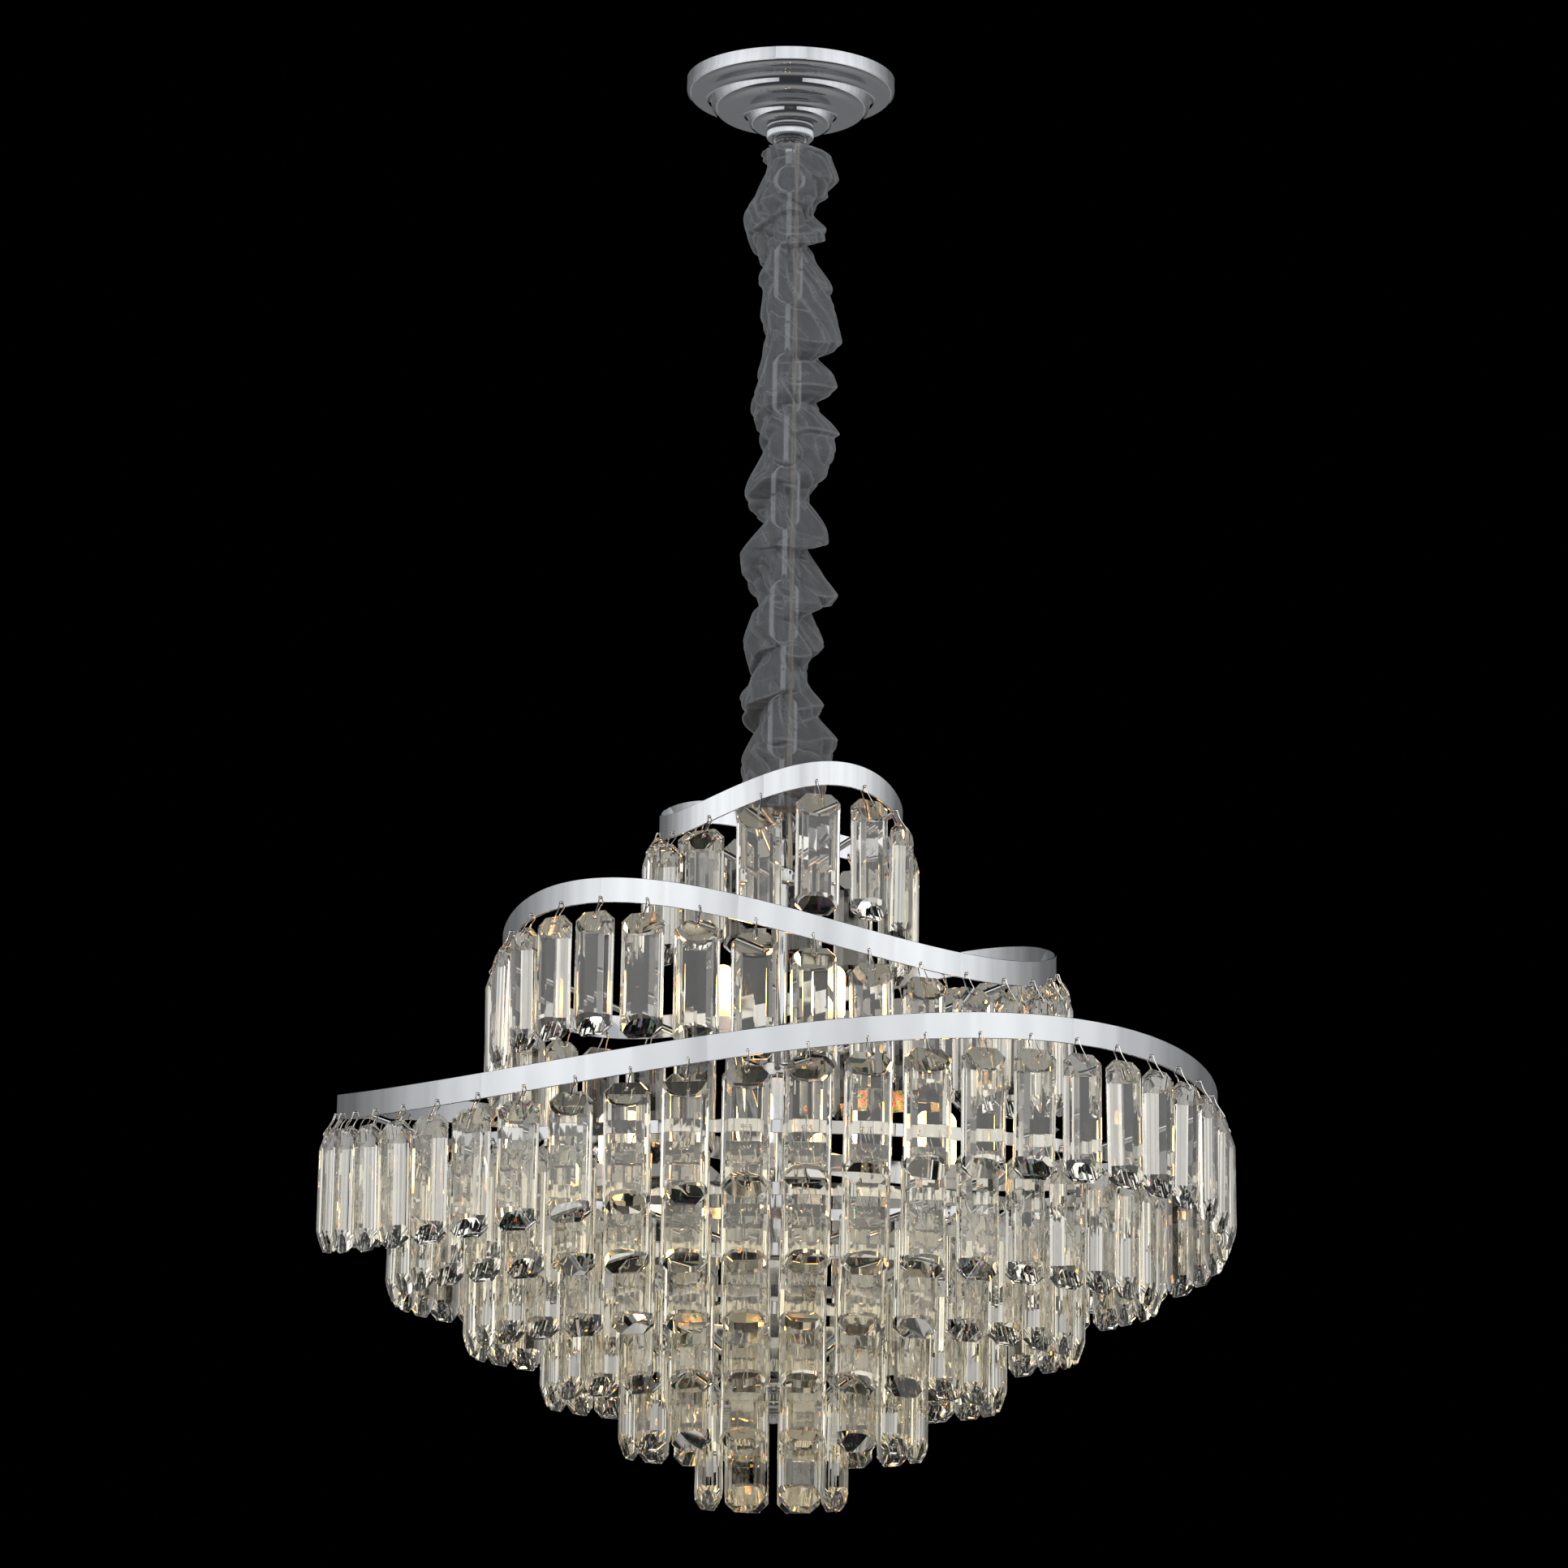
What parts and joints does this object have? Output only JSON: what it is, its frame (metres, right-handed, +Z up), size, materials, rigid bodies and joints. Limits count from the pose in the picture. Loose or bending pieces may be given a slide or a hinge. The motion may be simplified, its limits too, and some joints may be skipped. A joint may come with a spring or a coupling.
{
  "type": "crystal chandelier",
  "caption": "Ceiling chandelier on a chain in a sheer sleeve, with nested wavy metal bands and a stepped cage of rings, all hung with faceted glass bars.",
  "frame": {"origin": "middle of the top face of the ceiling plate, where it lies against the ceiling", "axes": "+Z up into the ceiling, -Y towards the viewer of the picture, +X to the right"},
  "size_m": [0.648, 0.6476, 1.05],
  "materials": {
    "chrome": "polished",
    "steel": "zinc plated",
    "crystal": "cut and polished",
    "organza": "sheer weave",
    "flex": "clear sheath over pale wires",
    "ceramic": "glazed",
    "lamp_glass": "clear",
    "terminal": "moulded"
  },
  "bodies": {
    "ceiling_fixing": {"ceiling_plate": "steel", "canopy_loop": "chrome", "terminal_block": "terminal"},
    "canopy": {"canopy": "chrome"},
    "collar": {"canopy_collar": "chrome"},
    "first_link": {"chain_link_01": "chrome"},
    "chain": {"chain_link_02": "chrome", "chain_link_03": "chrome", "chain_link_04": "chrome", "chain_link_05": "chrome", "chain_link_06": "chrome", "chain_link_07": "chrome", "chain_link_08": "chrome", "chain_link_09": "chrome", "chain_link_10": "chrome", "chain_link_11": "chrome", "supply_flex": "flex", "chain_sleeve": "organza"},
    "frame": {"frame_top_loop": "chrome", "stem_tube": "chrome", "upper_spider": "chrome", "middle_spider": "chrome", "lower_spider": "chrome", "cage_spider": "chrome", "stem_finial": "chrome", "band_top": "chrome", "band_middle": "chrome", "band_bottom": "chrome", "crystal_row_top": "crystal", "crystal_row_middle": "crystal", "crystal_row_bottom": "crystal", "crystal_row_cage_1": "crystal", "crystal_row_cage_2": "crystal", "crystal_row_cage_3": "crystal", "crystal_row_cage_4": "crystal", "cage_ring_1": "chrome", "cage_ring_2": "chrome", "cage_ring_3": "chrome", "cage_ring_4": "chrome", "cage_ring_5": "chrome", "lampholder_1": "ceramic", "lampholder_2": "ceramic", "lampholder_3": "ceramic", "lampholder_4": "ceramic", "lampholder_5": "ceramic", "lampholder_6": "ceramic", "bulb_1": "lamp_glass", "bulb_2": "lamp_glass", "bulb_3": "lamp_glass", "bulb_4": "lamp_glass", "bulb_5": "lamp_glass", "bulb_6": "lamp_glass"},
    "crystal_1": {"lowest_crystal_1": "crystal"},
    "crystal_2": {"lowest_crystal_2": "crystal"},
    "crystal_3": {"lowest_crystal_3": "crystal"},
    "crystal_4": {"lowest_crystal_4": "crystal"},
    "crystal_5": {"lowest_crystal_5": "crystal"},
    "crystal_6": {"lowest_crystal_6": "crystal"},
    "crystal_7": {"lowest_crystal_7": "crystal"},
    "crystal_8": {"lowest_crystal_8": "crystal"}
  },
  "joints": [
    {"name": "canopy_drop", "type": "slide", "parent": "ceiling_fixing", "child": "canopy", "axis": [0, 0, 1], "range_m": [-0.038, 0], "deforming": ["chain_sleeve"]},
    {"name": "collar_turn", "type": "hinge", "parent": "canopy", "child": "collar", "pos_m": [0, 0, -0.0423], "axis": [0, 0, 1], "continuous": true},
    {"name": "swing_front_back", "type": "hinge", "parent": "ceiling_fixing", "child": "first_link", "pos_m": [0, 0, -0.08655], "axis": [1, 0, 0], "range_deg": [-10, 10], "deforming": ["chain_sleeve", "supply_flex"]},
    {"name": "swing_side", "type": "hinge", "parent": "first_link", "child": "chain", "pos_m": [0, 0, -0.12925], "axis": [0, 1, 0], "range_deg": [-10, 10], "deforming": ["chain_sleeve", "supply_flex"]},
    {"name": "frame_tilt", "type": "hinge", "parent": "chain", "child": "frame", "pos_m": [0, 0, -0.55625], "axis": [0, 1, 0], "range_deg": [-8, 8], "deforming": ["supply_flex"]},
    {"name": "crystal_swing_1", "type": "hinge", "parent": "frame", "child": "crystal_1", "pos_m": [0.01837, -0.04435, -0.969], "axis": [-0.9239, -0.3827, 0], "range_deg": [-5, 30]},
    {"name": "crystal_swing_2", "type": "hinge", "parent": "frame", "child": "crystal_2", "pos_m": [0.04435, -0.01837, -0.969], "axis": [-0.3827, -0.9239, 0], "range_deg": [-5, 30]},
    {"name": "crystal_swing_3", "type": "hinge", "parent": "frame", "child": "crystal_3", "pos_m": [0.04435, 0.01837, -0.969], "axis": [0.3827, -0.9239, 0], "range_deg": [-5, 30]},
    {"name": "crystal_swing_4", "type": "hinge", "parent": "frame", "child": "crystal_4", "pos_m": [0.01837, 0.04435, -0.969], "axis": [0.9239, -0.3827, 0], "range_deg": [-5, 30]},
    {"name": "crystal_swing_5", "type": "hinge", "parent": "frame", "child": "crystal_5", "pos_m": [-0.01837, 0.04435, -0.969], "axis": [0.9239, 0.3827, 0], "range_deg": [-5, 30]},
    {"name": "crystal_swing_6", "type": "hinge", "parent": "frame", "child": "crystal_6", "pos_m": [-0.04435, 0.01837, -0.969], "axis": [0.3827, 0.9239, 0], "range_deg": [-5, 30]},
    {"name": "crystal_swing_7", "type": "hinge", "parent": "frame", "child": "crystal_7", "pos_m": [-0.04435, -0.01837, -0.969], "axis": [-0.3827, 0.9239, 0], "range_deg": [-5, 30]},
    {"name": "crystal_swing_8", "type": "hinge", "parent": "frame", "child": "crystal_8", "pos_m": [-0.01837, -0.04435, -0.969], "axis": [-0.9239, 0.3827, 0], "range_deg": [-5, 30]}
  ]
}
